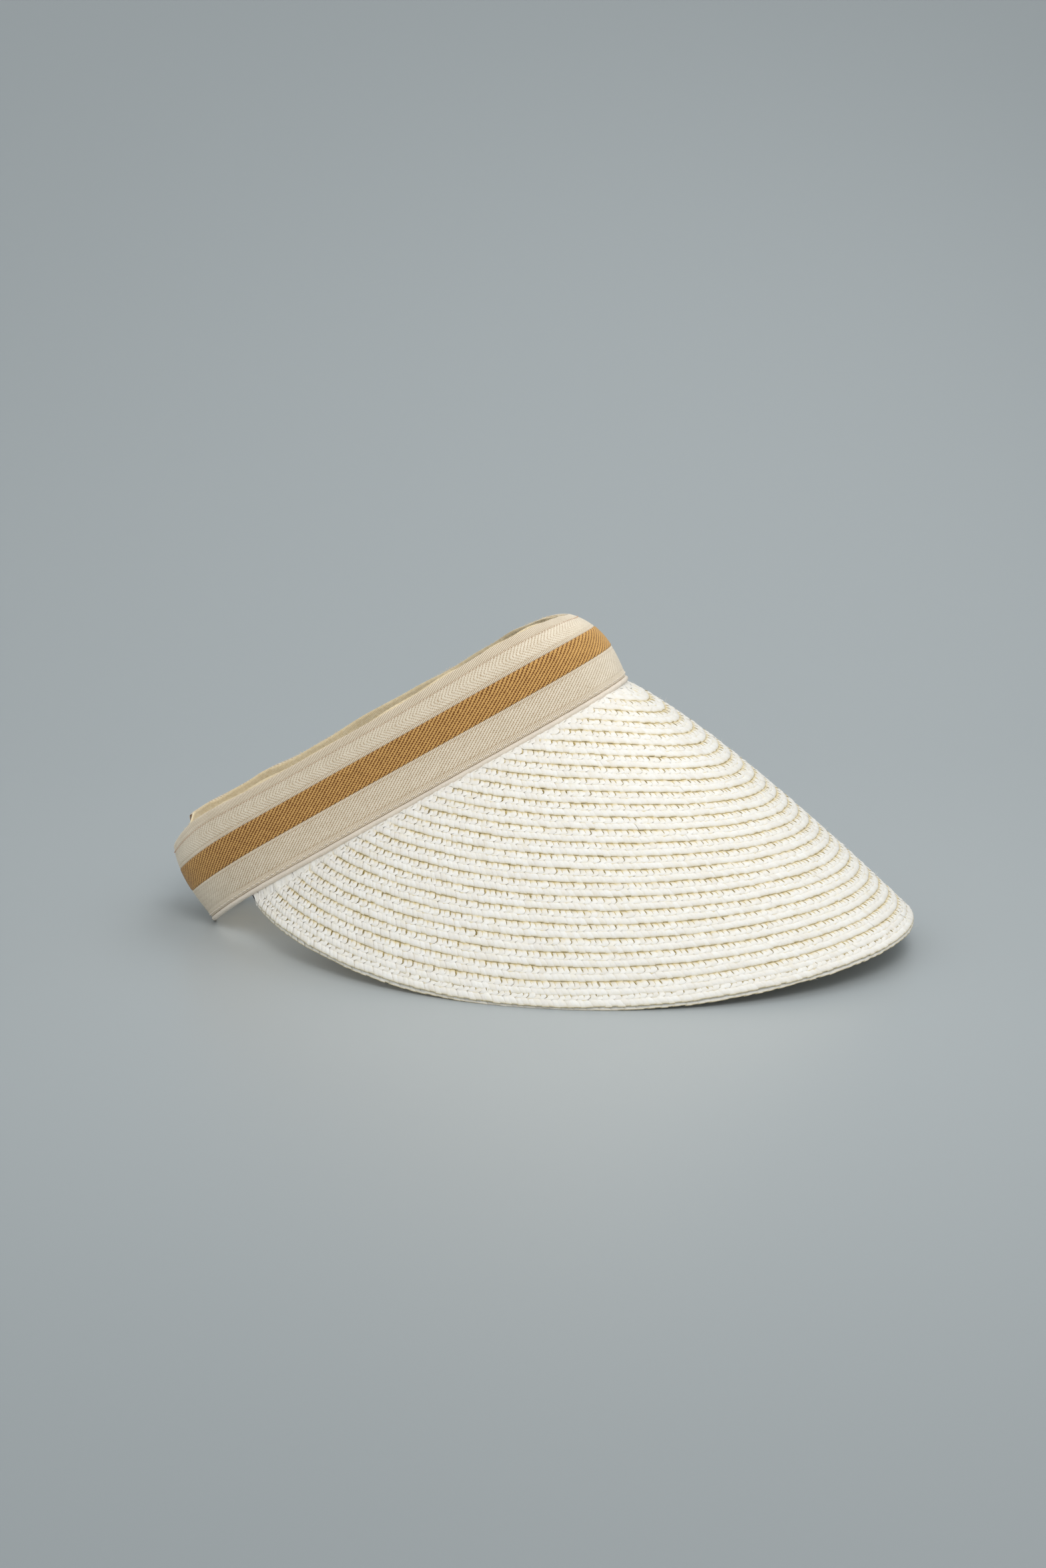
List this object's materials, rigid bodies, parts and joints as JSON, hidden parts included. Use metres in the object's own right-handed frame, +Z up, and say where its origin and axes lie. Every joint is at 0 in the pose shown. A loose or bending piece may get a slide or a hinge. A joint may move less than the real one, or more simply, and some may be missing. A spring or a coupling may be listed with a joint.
{
  "type": "sun visor",
  "caption": "Wide-brim open-crown sun visor: lapped rows of plaited paper straw sewn to a striped elastic head band, lying at rest.",
  "frame": {"origin": "centre of the visor's footprint, on the table it lies on", "axes": "+X to the front of the brim, +Y to the wearer's left, +Z up; the visor lies on the back of its band and the two sides of its brim"},
  "size_m": [0.3456, 0.2356, 0.1472],
  "materials": {
    "straw": "matt plaited paper straw",
    "webbing": "matt woven elastic, cream with one tan stripe",
    "lining": "brushed cloth",
    "piping": "smooth covered cord",
    "thread": "sewing thread"
  },
  "bodies": {
    "root": {"straw_row_01": "straw", "straw_row_02": "straw", "straw_row_03": "straw", "straw_row_04": "straw", "straw_row_05": "straw", "straw_row_06": "straw", "straw_row_07": "straw", "straw_row_08": "straw", "straw_row_09": "straw", "straw_row_10": "straw", "straw_row_11": "straw", "straw_row_12": "straw", "straw_row_13": "straw", "straw_row_14": "straw", "straw_row_15": "straw", "straw_row_16": "straw", "straw_row_17": "straw", "straw_row_18": "straw", "straw_row_19": "straw", "straw_row_20": "straw", "straw_row_21": "straw", "straw_row_22": "straw", "straw_row_23": "straw", "straw_row_24": "straw", "straw_row_25": "straw", "folded_edge": "straw", "seam_piping": "piping", "elastic_webbing": "webbing", "inner_lining": "lining", "top_stitch_thread": "thread", "lower_stitch_thread": "thread"}
  },
  "joints": []
}
